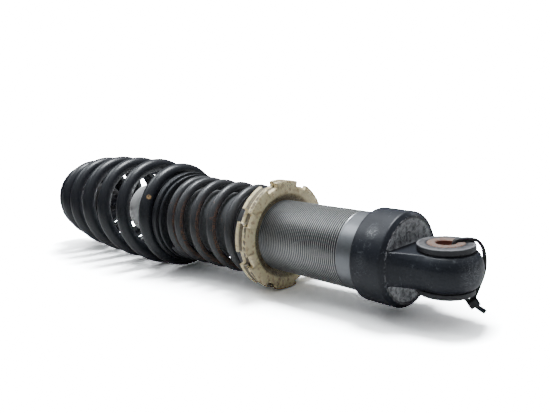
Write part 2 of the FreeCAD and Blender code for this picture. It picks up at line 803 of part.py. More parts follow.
def coil(label, wire_radius, stations, radii):
    """A right-hand wire spring: its stations and mean radii are given at a few turn numbers."""
    steps_per_turn = 24
    first, last = stations[0][0], stations[-1][0]
    steps = round((last - first) * steps_per_turn)
    points = []
    for step in range(steps + 1):
        turn = first + (last - first) * step / steps
        angle = START_ANGLE + 2 * math.pi * turn
        radius = between(radii, turn)
        station = between(stations, turn)
        points.append(FreeCAD.Vector(station, radius * math.cos(angle), radius * math.sin(angle)))
    path = Part.BSplineCurve()
    path.interpolate(Points=points)
    spans = [path.parameter(point) for point in points[::steps_per_turn // 2]]
    if steps % (steps_per_turn // 2):
        spans.append(path.LastParameter)
    edges = []
    for begin, finish in zip(spans[:-1], spans[1:]):
        span = path.copy()
        span.segment(begin, finish)
        edges.append(span.toShape())
    start, direction = path.value(path.FirstParameter), path.tangent(path.FirstParameter)[0]
    section = Part.Wire([Part.Circle(start, direction, wire_radius).toShape()])
    sweep = Part.BRepOffsetAPI.MakePipeShell(Part.Wire(edges))
    sweep.setBiNormalMode(FreeCAD.Vector(1, 0, 0))
    sweep.add(section)
    sweep.build()
    sweep.makeSolid()
    spring = doc.addObject("Part::Feature", label)
    spring.Label = label
    spring.Shape = sweep.shape()
    spring.Placement = FreeCAD.Placement()
    parts.append(spring)
    return spring


def springs():
    tender_wire = size("tender_wire_radius")
    tender_first = size("washer_rear") + tender_wire
    tender_last = size("tender_end") - tender_wire
    coil("tender_spring", tender_wire, [
        (-1.35, tender_first),
        (-0.95, tender_first),
        (-0.35, tender_first + 6.6),
        (0.0, 138.6),
        (1.0, 157.2),
        (2.0, 175.8),
        (3.0, 193.3),
        (3.85, tender_last - 6.5),
        (4.5, tender_last),
        (4.85, tender_last),
    ], [(-1.35, 27.3), (0.0, 27.3), (2.0, 27.8), (3.0, 28.2), (4.85, 28.5)])
    main_wire = size("main_wire_radius")
    main_first = size("main_start") + main_wire
    main_last = size("main_end") - main_wire
    coil("main_spring", main_wire, [
        (-0.64, main_first),
        (-0.35, main_first),
        (0.0, 227.6),
        (1.0, 257.3),
        (2.0, 287.8),
        (3.0, 315.0),
        (4.0, 341.0),
        (5.0, main_last - 10.8),
        (5.75, main_last),
        (6.0, main_last),
    ], [(-0.64, 33.6), (0.0, 34.0), (1.0, 36.4), (2.0, 36.3), (3.0, 35.9), (4.0, 34.4), (5.0, 30.4), (6.0, 27.9)])


# ---------------------------------------------------------------- the whole shock

upper_eye_cap()
flanged_bushes("upper", "0")
eye_sleeve("upper_sleeve", "0")
gas_charge_screw()
damper_tube()
threaded_sleeve()
seal_head()
end_cap()
small_rings()
floating_piston()
collar()
coupler()
rod_pieces()
lower_eye()
flanged_bushes("lower", "lower_eye")
eye_sleeve("lower_sleeve", "lower_eye")
springs()
doc.recompute()

for item in doc.Objects:
    if "Invalid" in item.State or "Error" in item.State:
        raise RuntimeError(f"{item.Label} failed: {item.State}")
for item in parts:
    if item.Shape.isNull() or not item.Shape.isValid():
        raise RuntimeError(f"{item.Label} has no valid shape")

os.makedirs("parts", exist_ok=True)
for item in parts:
    item.Shape.exportStep(f"parts/{item.Label}.step")
    solids = len(item.Shape.Solids)
    box = item.Shape.BoundBox
    print(f"{item.Label:24s} {solids} solid  {item.Shape.Volume:10.1f} mm3"
          f"  X {box.XMin:7.2f} {box.XMax:7.2f}  Y {box.YMin:7.2f} {box.YMax:7.2f}  Z {box.ZMin:7.2f} {box.ZMax:7.2f}")
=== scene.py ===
import math
import bpy
import bmesh
from mathutils import Matrix, Vector


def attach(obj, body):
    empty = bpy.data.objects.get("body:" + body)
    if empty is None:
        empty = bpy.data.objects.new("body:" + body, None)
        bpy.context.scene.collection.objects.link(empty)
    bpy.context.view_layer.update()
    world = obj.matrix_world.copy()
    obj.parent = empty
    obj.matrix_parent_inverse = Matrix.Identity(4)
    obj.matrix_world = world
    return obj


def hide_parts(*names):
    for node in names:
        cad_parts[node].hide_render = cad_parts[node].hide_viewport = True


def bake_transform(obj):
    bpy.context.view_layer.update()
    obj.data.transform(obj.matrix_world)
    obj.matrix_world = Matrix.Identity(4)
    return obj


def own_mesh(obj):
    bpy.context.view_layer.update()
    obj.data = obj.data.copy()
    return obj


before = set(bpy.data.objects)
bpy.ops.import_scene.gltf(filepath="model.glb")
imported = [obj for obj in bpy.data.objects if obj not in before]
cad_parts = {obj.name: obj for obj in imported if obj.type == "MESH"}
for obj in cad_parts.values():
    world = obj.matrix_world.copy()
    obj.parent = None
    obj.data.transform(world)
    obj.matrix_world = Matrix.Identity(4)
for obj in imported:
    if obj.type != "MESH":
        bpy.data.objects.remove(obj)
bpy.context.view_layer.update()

# The look of the rear shock absorber. Lengths are in millimetres in the shared frame until MM turns them
# into metres: the origin is the upper eye's bore, +X runs down the shock, +Z is along both bores.
MM = 0.001
TURNED_SEGMENTS = 160
FORGED_SEGMENTS = 96
# A rounded corner uses at most this share of the sides next to it.
CORNER_SHARE = 0.42


# ======================== ways of making a mesh

def add_object(name, data):
    """A new object in the scene that holds the data."""
    made = bpy.data.objects.new(name, data)
    bpy.context.scene.collection.objects.link(made)
    return made


def new_mesh(name, points, faces):
    """A mesh from points in millimetres."""
    mesh = bpy.data.meshes.new(name)
    mesh.from_pydata([Vector(point) * MM for point in points], [], faces)
    return mesh


def make_piece(name, points, faces, material, body, sharp_angle=35.0):
    """A smooth-shaded mesh object from millimetre points, moving with a CAD body."""
    mesh = new_mesh(name, points, faces)
    mesh.validate()
    mesh.update()
    piece = add_object(name, mesh)
    mesh.materials.append(material)
    shade(piece, sharp_angle)
    if body:
        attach(piece, body)
    return piece


def shade(piece, sharp_angle):
    """Smooth shading with edges sharper than the angle kept sharp."""
    mesh = piece.data
    working = bmesh.new()
    working.from_mesh(mesh)
    bmesh.ops.recalc_face_normals(working, faces=working.faces)
    limit = math.radians(sharp_angle)
    for edge in working.edges:
        if len(edge.link_faces) == 2:
            edge.smooth = edge.calc_face_angle(0.0) < limit
    for face in working.faces:
        face.smooth = True
    working.to_mesh(mesh)
    working.free()


def rounded(profile, radius, steps=3):
    """The closed profile with each of its corners rounded by the radius, or less on short sides."""
    result = []
    count = len(profile)
    for index in range(count):
        before = Vector(profile[index - 1])
        corner = Vector(profile[index])
        after = Vector(profile[(index + 1) % count])
        to_before, to_after = before - corner, after - corner
        reach = min(radius, CORNER_SHARE * to_before.length, CORNER_SHARE * to_after.length)
        first = corner + to_before.normalized() * reach
        last = corner + to_after.normalized() * reach
        for step in range(steps + 1):
            share = step / steps
            near = first.lerp(corner, share)
            far = corner.lerp(last, share)
            result.append(tuple(near.lerp(far, share)))
    return result


def around_x(along, radius, turn):
    """The point at a station, a radius and an angle about the shock's axis."""
    return (along, radius * math.cos(turn), radius * math.sin(turn))


def strips(rows, count, closed, wrapped=True):
    """Faces between rows of count points each.

    Closed joins the last row to the first, and wrapped joins the last point of each row to its first."""
    faces = []
    for row in range(rows if closed else rows - 1):
        here, following = row * count, (row + 1) % rows * count
        for index in range(count if wrapped else count - 1):
            nearby = (index + 1) % count
            faces.append((here + index, here + nearby, following + nearby, following + index))
    return faces


def lathe(name, profile, material, body, round_by):
    """A piece turned about X from a closed outline of (along, radius) pairs."""
    outline = rounded(profile, round_by) if round_by else profile
    turns = [2 * math.pi * segment / TURNED_SEGMENTS for segment in range(TURNED_SEGMENTS)]
    points = [around_x(along, radius, turn) for turn in turns for along, radius in outline]
    return make_piece(name, points, strips(TURNED_SEGMENTS, len(outline), True), material, body)


def tube(path, radii, around):
    """Points and faces of a round tube along a path; its first and last rings are closed with a face."""
    up = Vector((1, 0, 0))
    points = []
    count = len(path)
    for index, place in enumerate(path):
        ahead = path[min(index + 1, count - 1)] - path[max(index - 1, 0)]
        ahead.normalize()
        side = ahead.cross(up).normalized()
        top = side.cross(ahead)
        for step in range(around):
            turn = 2 * math.pi * step / around
            offset = side * math.cos(turn) + top * math.sin(turn)
            points.append(tuple(place + offset * radii[index]))
    faces = strips(count, around, False)
    faces.append(tuple(range(around)))
    faces.append(tuple((count - 1) * around + step for step in range(around)))
    return points, faces


def between(knots, turn):
    """Smooth value at a turn number from (turn, value) knots, with slopes that don't overshoot."""
    for index in range(len(knots) - 1):
        if turn <= knots[index + 1][0] or index == len(knots) - 2:
            break
    slopes = []
    for near in (index, index + 1):
        if near in (0, len(knots) - 1):
            slopes.append(0.0)
            continue
        before = (knots[near][1] - knots[near - 1][1]) / (knots[near][0] - knots[near - 1][0])
        after = (knots[near + 1][1] - knots[near][1]) / (knots[near + 1][0] - knots[near][0])
        slopes.append(0.0 if before * after <= 0 else 2 * before * after / (before + after))
    span = knots[index + 1][0] - knots[index][0]
    share = (turn - knots[index][0]) / span
    start_share = (1 + 2 * share) * (1 - share) ** 2
    end_share = share ** 2 * (3 - 2 * share)
    bend = share * (1 - share) ** 2 * span * slopes[0] - share ** 2 * (1 - share) * span * slopes[1]
    return start_share * knots[index][1] + end_share * knots[index + 1][1] + bend


# ======================== materials

def feed(tree, socket, value):
    """Link the socket to another one, or give it a value; a colour comes without its alpha."""
    if isinstance(value, bpy.types.NodeSocket):
        tree.links.new(value, socket)
    else:
        socket.default_value = (*value, 1) if socket.type == "RGBA" else value


def add_node(tree, kind, inputs=None, **settings):
    """A node with its settings made and its inputs, given by name or number, fed."""
    made = tree.nodes.new(kind)
    for key, value in settings.items():
        setattr(made, key, value)
    for key, value in (inputs or {}).items():
        feed(tree, made.inputs[key], value)
    return made


class Graph:
    """One material's node graph; the methods add nodes and return the socket they make."""

    def __init__(self, name):
        self.material = bpy.data.materials.new(name)
        self.material.use_nodes = True
        self.tree = self.material.node_tree
        self.shader = self.tree.nodes["Principled BSDF"]
        self.place = self.node("ShaderNodeTexCoord").outputs["Object"]

    def node(self, kind, inputs=None, **settings):
        return add_node(self.tree, kind, inputs, **settings)

    def scaled(self, stretch=(1, 1, 1)):
        """Object coordinates in millimetres, stretched along each axis."""
        scale = [1 / MM * axis for axis in stretch]
        return self.node("ShaderNodeMapping", {"Vector": self.place, "Scale": scale}).outputs["Vector"]

    def noise(self, per_mm, detail=4.0, roughness=0.55, distortion=0.0, stretch=(1, 1, 1)):
        return self.node("ShaderNodeTexNoise", {
            "Vector": self.scaled(stretch), "Scale": per_mm, "Detail": detail, "Roughness": roughness,
            "Distortion": distortion}).outputs["Fac"]

    def math(self, operation, first, second=0.0):
        return self.node("ShaderNodeMath", {0: first, 1: second}, operation=operation).outputs[0]

    def times(self, first, second):
        return self.math("MULTIPLY", first, second)

    def plus(self, first, second):
        return self.math("ADD", first, second)

    def minus(self, first, second):
        return self.math("SUBTRACT", first, second)

    def inverse(self, value):
        return self.math("SUBTRACT", 1.0, value)

    def larger(self, first, second):
        return self.math("MAXIMUM", first, second)

    def between(self, value, low, high):
        """0 below low, 1 above high, smooth in between."""
        return self.node("ShaderNodeMapRange", {"Value": value, "From Min": low, "From Max": high},
                         interpolation_type="SMOOTHSTEP").outputs["Result"]

    def remap(self, value, low, high):
        """0..1 spread over low..high."""
        spread = self.node("ShaderNodeMapRange", {"Value": value, "To Min": low, "To Max": high})
        return spread.outputs["Result"]

    def mix(self, factor, first, second):
        """Two colours mixed; they are inputs 6 and 7 of the node, and the mix is its output 2."""
        mixed = self.node("ShaderNodeMix", {"Factor": factor, 6: first, 7: second}, data_type="RGBA")
        return mixed.outputs[2]

    def axis(self, letter):
        """One object coordinate in millimetres."""
        return self.node("ShaderNodeSeparateXYZ", {0: self.scaled()}).outputs[letter]

    def radius(self):
        """Distance from the shock's axis, in millimetres."""
        across, up = self.axis("Y"), self.axis("Z")
        squares = self.plus(self.math("POWER", across, 2.0), self.math("POWER", up, 2.0))
        return self.math("SQRT", squares)

    def edges(self, reach, low, high):
        """1 on convex and concave edges within the reach in millimetres, 0 on flat ground."""
        bevel = self.node("ShaderNodeBevel", {"Radius": reach * MM}, samples=6)
        true = self.node("ShaderNodeNewGeometry")
        dot = self.node("ShaderNodeVectorMath", {0: bevel.outputs[0], 1: true.outputs["Normal"]},
                        operation="DOT_PRODUCT")
        return self.between(self.inverse(dot.outputs["Value"]), low, high)

    def near(self, spot, reach):
        """1 at a spot given in millimetres, falling to 0 at the reach."""
        gap = self.node("ShaderNodeVectorMath", {0: self.scaled(), 1: spot}, operation="DISTANCE")
        return self.inverse(self.between(gap.outputs["Value"], 0.0, reach))

    def finish(self, base, roughness, height, bump, depth, metallic=0.0):
        """Feed the shader; the bump's depth is in millimetres."""
        relief = self.node("ShaderNodeBump", {"Strength": bump, "Distance": depth * MM, "Height": height})
        feed(self.tree, self.shader.inputs["Base Color"], base)
        feed(self.tree, self.shader.inputs["Roughness"], roughness)
        feed(self.tree, self.shader.inputs["Metallic"], metallic)
        feed(self.tree, self.shader.inputs["Normal"], relief.outputs["Normal"])
        return self.material


RUST_DARK = (0.050, 0.027, 0.018)
RUST = (0.22, 0.125, 0.085)
RUST_PALE = (0.42, 0.26, 0.12)
DUST = (0.19, 0.185, 0.17)


def spring_paint(name, dark, light, rust_amount, rusty_side, spots=()):
    """Satin black paint on spring wire, with dust on it and rust coming through."""
    g = Graph(name)
    fine = g.noise(1.6, 5, 0.6)
    broad = g.noise(0.09, 3, 0.5)
    paint = g.mix(broad, dark, light)
    dusty = g.mix(g.times(g.between(fine, 0.55, 0.8), 0.35), paint, DUST)
    blotch = g.noise(0.16, 6, 0.62, 0.4, stretch=(1.3, 1, 1))
    grain = g.noise(2.2, 4, 0.7)
    pits = g.times(g.between(blotch, 0.70 - rust_amount, 0.78 - rust_amount), g.between(grain, 0.42, 0.58))
    if rusty_side:
        normal = g.node("ShaderNodeTexCoord").outputs["Normal"]
        facing = g.node("ShaderNodeSeparateXYZ", {0: normal})
        outward = g.plus(g.times(facing.outputs["X"], -1.0), g.times(g.noise(0.5, 4, 0.6), 0.16))
        outward = g.minus(outward, 0.08)
        streak = g.times(g.between(outward, 0.86, 0.94), g.between(g.noise(1.3, 5, 0.7), 0.42, 0.54))
        streak = g.times(streak, g.inverse(g.between(g.axis("Z"), 14.0, 24.0)))
        far_end = g.between(g.axis("X"), 140.0, 150.0)
        pits = g.larger(pits, g.times(streak, far_end))
    colour = g.mix(g.between(grain, 0.35, 0.7), RUST_DARK, RUST)
    base = g.mix(pits, dusty, colour)
    for place, reach, tint in spots:
        speck = g.times(g.between(g.near(place, reach), 0.35, 0.75), g.between(fine, 0.36, 0.52))
        base = g.mix(speck, base, tint)
    rough = g.plus(g.remap(fine, 0.30, 0.46), g.times(pits, 0.35))
    height = g.plus(g.times(fine, 0.25), g.times(pits, grain))
    return g.finish(base, rough, height, 0.5, 0.12)


# Knocks on the cap and eye, and one painted highlight: place and reach in millimetres, and how far the paint
# has gone.
CAP_SCUFFS_AND_HIGHLIGHT = [
    # The first entry is a painted highlight: a pale patch on the barrel where a lamp's reflection falls.
    ((30.9, 19.1, 17.6), 5.0, 0.60),
    ((42.0, 19.0, 15.0), 4.0, 0.18),
    ((34.0, 26.0, 3.0), 6.0, 0.14),
    ((-17.5, 3.5, 2.8), 11.0, 0.26),
    ((-16.1, 7.5, -2.0), 6.0, 0.14),
    ((21.5, -4.0, 21.5), 9.0, 0.35),
]


def cap_paint(name):
    """Dark blue-grey paint on the cap and lower eye: chalky end face, scuffs, scratches, worn edges, a
    painted highlight on the barrel.
    """
    g = Graph(name)
    g.shader.inputs["Specular IOR Level"].default_value = 0.38
    broad = g.noise(0.07, 3, 0.5)
    fine = g.noise(2.4, 5, 0.6)
    along = g.axis("X")
    radius = g.radius()
    paint = g.mix(broad, (0.008, 0.010, 0.016), (0.014, 0.017, 0.025))
    mottle = g.noise(0.32, 6, 0.65, 0.6)
    end_face = g.minus(g.between(along, 20.4, 21.2), g.between(along, 22.6, 23.2))
    end_face = g.times(end_face, g.inverse(g.between(radius, 22.7, 23.3)))
    chalk = g.mix(g.between(mottle, 0.32, 0.64), (0.13, 0.137, 0.150), (0.55, 0.56, 0.58))
    paint = g.mix(g.times(end_face, 0.9), paint, chalk)
    scuff = g.times(g.between(mottle, 0.55, 0.68), g.between(g.noise(0.11, 3, 0.5), 0.48, 0.60))
    worn = g.mix(g.times(scuff, 0.5), paint, (0.12, 0.13, 0.145))
    scratch = g.between(g.noise(0.5, 3, 0.5, 0.8, stretch=(6, 0.7, 1.6)), 0.66, 0.72)
    scratch = g.times(scratch, g.between(g.noise(0.12, 2, 0.5), 0.50, 0.62))
    worn = g.mix(g.times(scratch, 0.6), worn, (0.30, 0.31, 0.32))
    rim = g.times(g.edges(0.8, 0.03, 0.25), g.between(g.noise(0.4, 4, 0.6), 0.40, 0.62))
    base = g.mix(g.times(rim, 0.20), worn, (0.20, 0.21, 0.23))
    edge = g.minus(g.between(radius, 22.9, 23.2), g.between(radius, 23.6, 24.1))
    edge = g.times(edge, g.inverse(g.between(along, 20.7, 21.2)))
    edge = g.times(edge, g.between(g.noise(0.30, 4, 0.6), 0.42, 0.58))
    knocked = g.times(g.between(g.axis("Y"), 1.0, 9.0), g.remap(g.between(g.axis("Z"), 4.0, 12.0), 0.25, 1.0))
    base = g.mix(g.times(g.times(edge, knocked), 0.75), base, (0.62, 0.63, 0.64))
    ragged = g.remap(g.between(g.noise(0.5, 4, 0.6, 1.5, stretch=(1, 1, 2.2)), 0.46, 0.60), 0.25, 1.0)
    # Pale patches of worn paint, and one painted highlight on the barrel.
    for place, reach, strength in CAP_SCUFFS_AND_HIGHLIGHT:
        mark = g.times(g.near(place, reach), ragged)
        base = g.mix(g.times(mark, strength), base, (0.36, 0.37, 0.39))
    rough = g.plus(g.remap(fine, 0.36, 0.50), g.times(g.larger(scuff, end_face), 0.16))
    height = g.plus(g.times(fine, 0.35), g.times(mottle, 0.8))
    return g.finish(base, rough, height, 0.35, 0.14)


def body_metal(name):
    """Grey anodised sleeve: bare thread crests, painted shade in the thread grooves, and a dull part under
    the tender coil.
    """
    g = Graph(name)
    radius = g.radius()
    along = g.axis("X")
    turning = g.noise(1.0, 3, 0.5, stretch=(5, 0.05, 0.05))
    broad = g.noise(0.10, 4, 0.55)
    grey = g.mix(broad, (0.115, 0.120, 0.130), (0.175, 0.180, 0.190))
    after_band = g.between(along, 52.8, 54.0)
    dull = g.between(along, 126.0, 131.0)
    threaded = g.minus(after_band, dull)
    grimy = g.between(along, 84.0, 112.0)
    crest = g.times(g.between(radius, 22.2, 22.46), g.minus(threaded, g.times(grimy, 0.55)))
    # Painted shade: the thread roots are darkened nearly to black.
    painted_groove_shade = g.inverse(g.between(radius, 21.7, 22.2))
    base = g.mix(g.times(crest, 0.85), grey, (0.70, 0.70, 0.68))
    base = g.mix(g.times(painted_groove_shade, 0.80), base, (0.016, 0.016, 0.018))
    smooth_band = g.inverse(after_band)
    base = g.mix(g.times(smooth_band, 0.6), base, (0.25, 0.26, 0.28))
    base = g.mix(g.times(dull, 0.95), base, (0.058, 0.061, 0.064))
    dirt = g.times(g.between(g.noise(0.5, 5, 0.6), 0.58, 0.70), g.between(along, 96.0, 116.0))
    base = g.mix(g.times(dirt, 0.6), base, (0.10, 0.075, 0.05))
    metallic = g.minus(0.75, g.times(dull, 0.75))
    rough = g.plus(g.remap(turning, 0.30, 0.44), g.times(dull, 0.35))
    return g.finish(base, rough, turning, 0.25, 0.05, metallic)


def ring_zinc(name):
    """Cream-coloured plating on the slotted rings, gone dull, with brown pitting and packed dirt, painted
    shade on the rear ring's set-back rim and a painted highlight along the edges.
    """
    g = Graph(name)
    radius = g.radius()
    along = g.axis("X")
    broad = g.noise(0.11, 4, 0.55)
    fine = g.noise(2.8, 5, 0.65)
    cream = g.mix(broad, (0.80, 0.67, 0.40), (0.98, 0.88, 0.60))
    stained = g.mix(g.between(g.noise(0.30, 5, 0.6), 0.48, 0.66), cream, (0.62, 0.49, 0.27))
    # Painted shade: the rear ring's set-back rim, between its step and the lock ring, is darkened as a
    # recess.
    band = g.minus(g.between(along, 116.9, 117.2), g.between(along, 119.6, 120.2))
    painted_recess_shade = g.times(band, g.remap(fine, 0.70, 1.0))
    stained = g.mix(painted_recess_shade, stained, (0.070, 0.056, 0.042))
    front_rim = g.minus(g.between(along, 113.2, 113.5), g.between(along, 115.0, 115.7))
    front_rim = g.times(front_rim, g.between(radius, 33.5, 34.6))
    soot = g.times(front_rim, g.between(g.noise(0.35, 5, 0.6), 0.36, 0.56))
    stained = g.mix(g.times(soot, 0.85), stained, (0.060, 0.045, 0.032))
    peppered = g.larger(g.near((114.0, -2.0, 34.5), 11.0), g.times(g.between(broad, 0.46, 0.62), 0.35))
    spots = g.times(g.between(g.noise(2.2, 5, 0.7), 0.50, 0.58), peppered)
    stained = g.mix(g.times(spots, 0.9), stained, (0.075, 0.045, 0.028))
    inner = g.inverse(g.between(radius, 24.5, 28.5))
    inner = g.times(inner, g.between(fine, 0.25, 0.50))
    stained = g.mix(g.times(inner, 0.85), stained, (0.085, 0.062, 0.040))
    # Painted highlight: the edges are made a paler cream.
    rim = g.edges(0.5, 0.03, 0.22)
    base = g.mix(g.times(rim, 0.40), stained, (0.95, 0.90, 0.76))
    rough = g.remap(fine, 0.48, 0.68)
    height = g.minus(g.times(fine, 0.5), g.times(spots, 0.8))
    return g.finish(base, rough, height, 0.45, 0.15, metallic=0.15)


def turned_metal(name, light, dark, rough_low, rough_high, metallic, stretch=(6, 0.06, 0.06)):
    """Bare turned metal: fine marks that run round the piece and a little tarnish."""
    g = Graph(name)
    marks = g.noise(1.2, 3, 0.5, stretch=stretch)
    tarnish = g.between(g.noise(0.25, 5, 0.6), 0.52, 0.72)
    base = g.mix(marks, dark, light)
    base = g.mix(g.times(tarnish, 0.35), base, tuple(channel * 0.45 for channel in dark))
    rough = g.plus(g.remap(marks, rough_low, rough_high), g.times(tarnish, 0.12))
    return g.finish(base, rough, marks, 0.3, 0.04, metallic)


def sleeve_steel(name):
    """Bare steel sleeve of an eye: brown rust in its bore, a pinkish tan bloom on its end faces."""
    g = Graph(name)
    across, along = g.axis("Z"), g.noise(0.9, 5, 0.6)
    bloom = g.noise(0.55, 6, 0.65, 0.4)
    steel = g.mix(along, (0.18, 0.135, 0.115), (0.31, 0.25, 0.22))
    rusted = g.mix(g.between(bloom, 0.46, 0.66), steel, (0.24, 0.115, 0.065))
    deep = g.inverse(g.between(g.math("ABSOLUTE", across), 12.2, 12.9))
    rusted = g.mix(g.times(deep, 0.85), rusted, (0.36, 0.13, 0.085))
    rough = g.remap(bloom, 0.45, 0.75)
    return g.finish(rusted, rough, bloom, 0.5, 0.12, metallic=0.55)


def moulded(name, light, dark, rough_low, rough_high, dust=0.15):
    """Rubber, foam or plastic: fine grain, a little dust in it."""
    g = Graph(name)
    grain = g.noise(3.0, 5, 0.6)
    broad = g.noise(0.22, 4, 0.55)
    base = g.mix(broad, dark, light)
    base = g.mix(g.times(g.between(grain, 0.55, 0.75), dust), base, DUST)
    return g.finish(base, g.remap(grain, rough_low, rough_high), grain, 0.35, 0.06)


def flange_plastic(name):
    """Black flanged bush: dusty grey ring on its end face, a painted highlight as a paler line along its rim,
    dark edge by the sleeve.
    """
    g = Graph(name)
    grain = g.noise(3.0, 5, 0.6)
    patch = g.noise(0.45, 5, 0.6)
    flat = g.node("ShaderNodeVectorMath", {0: g.scaled(), 1: (1, 1, 0)}, operation="MULTIPLY")
    radius = g.node("ShaderNodeVectorMath", {0: flat.outputs["Vector"]}, operation="LENGTH").outputs["Value"]
    top = g.between(g.math("ABSOLUTE", g.axis("Z")), 12.3, 12.6)
    black = g.mix(patch, (0.012, 0.013, 0.016), (0.022, 0.023, 0.027))
    dusty = g.mix(g.between(patch, 0.38, 0.60), (0.050, 0.050, 0.054), (0.115, 0.112, 0.118))
    base = g.mix(g.times(top, g.between(radius, 10.2, 10.9)), black, dusty)
    # Painted highlight: a paler line along the rim of the end face.
    rim = g.times(g.between(radius, 13.1, 13.5), g.between(patch, 0.30, 0.45))
    base = g.mix(g.times(g.times(rim, top), 0.7), base, (0.24, 0.24, 0.25))
    base = g.mix(g.times(g.between(grain, 0.58, 0.70), 0.25), base, DUST)
    return g.finish(base, g.remap(grain, 0.45, 0.62), grain, 0.35, 0.06)


def coupler_paint(name):
    """Black anodised coupler, paler grey along its rims: wear there, and a painted highlight."""
    g = Graph(name)
    fine = g.noise(2.0, 5, 0.6)
    base = g.mix(g.noise(0.15, 4, 0.5), (0.016, 0.018, 0.022), (0.030, 0.032, 0.037))
    # Paler grey on the rims: partly wear, partly a painted highlight.
    rim = g.times(g.edges(0.5, 0.03, 0.22), g.between(g.noise(0.5, 4, 0.6), 0.38, 0.55))
    base = g.mix(g.times(rim, 0.8), base, (0.17, 0.18, 0.19))
    dirt = g.between(g.noise(0.35, 5, 0.65), 0.60, 0.72)
    base = g.mix(g.times(dirt, 0.5), base, (0.055, 0.040, 0.028))
    return g.finish(base, g.remap(fine, 0.32, 0.50), fine, 0.3, 0.08, metallic=0.35)


MATERIALS = {
    "main_paint": spring_paint(
        "black_spring_paint", (0.0065, 0.0080, 0.012), (0.011, 0.013, 0.018), 0.0, False,
        [((224.1, 31.4, 19.0), 3.6, RUST_PALE)]),
    "tender_paint": spring_paint(
        "black_spring_paint_rusty", (0.030, 0.032, 0.036), (0.052, 0.053, 0.056), 0.08, True,
        [((189.8, 12.2, 28.7), 2.6, (0.34, 0.33, 0.14))]),
    "cap_paint": cap_paint("cap_paint"),
    "body_metal": body_metal("grey_anodised_body"),
    "ring_zinc": ring_zinc("cream_zinc_dirty"),
    "silver": turned_metal(
        "turned_silver", (0.92, 0.92, 0.91), (0.80, 0.80, 0.80), 0.26, 0.36, 0.55, (1.2, 0.03, 0.03)),
    "chrome": turned_metal("chrome_rod", (0.88, 0.88, 0.90), (0.74, 0.74, 0.76), 0.05, 0.12, 1.0),
    "steel": turned_metal("plain_steel", (0.50, 0.50, 0.51), (0.33, 0.33, 0.34), 0.30, 0.45, 0.95),
    "alloy": turned_metal("machined_alloy", (0.66, 0.66, 0.67), (0.50, 0.50, 0.51), 0.28, 0.40, 0.95),
    "bronze": turned_metal("bronze_bush", (0.55, 0.36, 0.15), (0.40, 0.25, 0.10), 0.28, 0.42, 0.95),
    "sleeve_steel": sleeve_steel("rusty_sleeve_steel"),
    "bush_plastic": flange_plastic("black_bush_plastic"),
    "rubber": moulded("black_rubber", (0.022, 0.022, 0.023), (0.012, 0.012, 0.013), 0.55, 0.75),
    "guide_plastic": moulded("white_guide_plastic", (0.62, 0.60, 0.55), (0.50, 0.48, 0.43), 0.35, 0.5),
    "bump_foam": moulded("black_bump_foam", (0.030, 0.030, 0.030), (0.016, 0.016, 0.016), 0.65, 0.85, 0.2),
    "coupler_paint": coupler_paint("coupler_black"),
    "tie_nylon": moulded("black_tie_nylon", (0.012, 0.012, 0.013), (0.006, 0.006, 0.007), 0.50, 0.65, 0.03),
}

NODES_OF_MATERIAL = {
    "cap_paint": ["upper_eye_cap", "lower_eye", "lower_spring_seat"],
    "bush_plastic": ["upper_bush_top", "upper_bush_bottom", "lower_bush_top", "lower_bush_bottom"],
    "sleeve_steel": ["upper_sleeve", "lower_sleeve"],
    "silver": ["damper_tube", "end_cap"],
    "body_metal": ["threaded_sleeve"],
    "ring_zinc": ["lock_ring", "preload_ring"],
    "tender_paint": ["tender_spring"],
    "main_paint": ["main_spring"],
    "coupler_paint": ["spring_coupler"],
    "chrome": ["piston_rod"],
    "bronze": ["rod_guide_bush"],
    "bump_foam": ["bump_stop"],
    "alloy": ["seal_head", "floating_piston", "piston"],
    "guide_plastic": ["coupler_guide", "piston_band"],
    "rubber": ["cap_o_ring", "seal_head_o_ring", "floating_piston_o_ring", "rod_seal", "rod_wiper",
               "top_out_bumper"],
    "steel": ["gas_charge_screw", "seal_head_circlip", "sleeve_circlip", "thrust_washer",
              "compression_shims", "rebound_shims", "piston_nut", "rod_lock_nut", "bump_stop_washer"],
}
for material_name, node_names in NODES_OF_MATERIAL.items():
    for node_name in node_names:
        node_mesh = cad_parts[node_name].data
        node_mesh.materials.clear()
        node_mesh.materials.append(MATERIALS[material_name])


# ======================== springs

# Turn numbers are counted from the coil that crosses this angle about the axis nearest the upper eye.
COIL_ANGLE = math.radians(20)
STEPS_PER_TURN = 96
AROUND_WIRE = 28
CUT_END = 0.90


def spring(name, node, wire_radius, stations, radii, material, first_share, last_share):
    """A wire spring along its coil stations and radii: its touching end coils keep their shape."""
    first, last = stations[0][0], stations[-1][0]
    steps = round((last - first) * STEPS_PER_TURN)
    turns = [first + (last - first) * step / steps for step in range(steps + 1)]
    path = []
    for turn in turns:
        angle = COIL_ANGLE + 2 * math.pi * turn
        path.append(Vector(around_x(between(stations, turn), between(radii, turn), angle)))
    wire = [wire_radius] * len(path)
    wire[0] = wire[-1] = wire_radius * CUT_END
    points, faces = tube(path, wire, AROUND_WIRE)
    piece = make_piece(name, points, faces, material, None, sharp_angle=50.0)
    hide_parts(node)

    # A coil's share of the travel grows with the free gap between it and its neighbours.
    free = [0.0]
    for turn in turns[1:]:
        low, high = turn - 0.5, turn + 0.5
        gap = 0.0
        if low >= first and high <= last:
            gap = max(0.0, between(stations, high) - between(stations, low) - 2 * wire_radius)
        free.append(free[-1] + gap)
    real_places = [vertex.co.copy() for vertex in piece.data.vertices]
    for index, total in enumerate(free):
        share = first_share + (last_share - first_share) * total / free[-1]
        spot = smooth_inverse(share)
        for step in range(AROUND_WIRE):
            piece.data.vertices[index * AROUND_WIRE + step].co = (spot, 0, 0)
    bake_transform(piece)
    for vertex, place in zip(piece.data.vertices, real_places):
        vertex.co = place
    piece.data.update()


def smooth_inverse(value):
    """The t whose smoothstep 3t^2 - 2t^3 is the value."""
    return 0.5 - math.sin(math.asin(max(-1.0, min(1.0, 1 - 2 * value))) / 3)


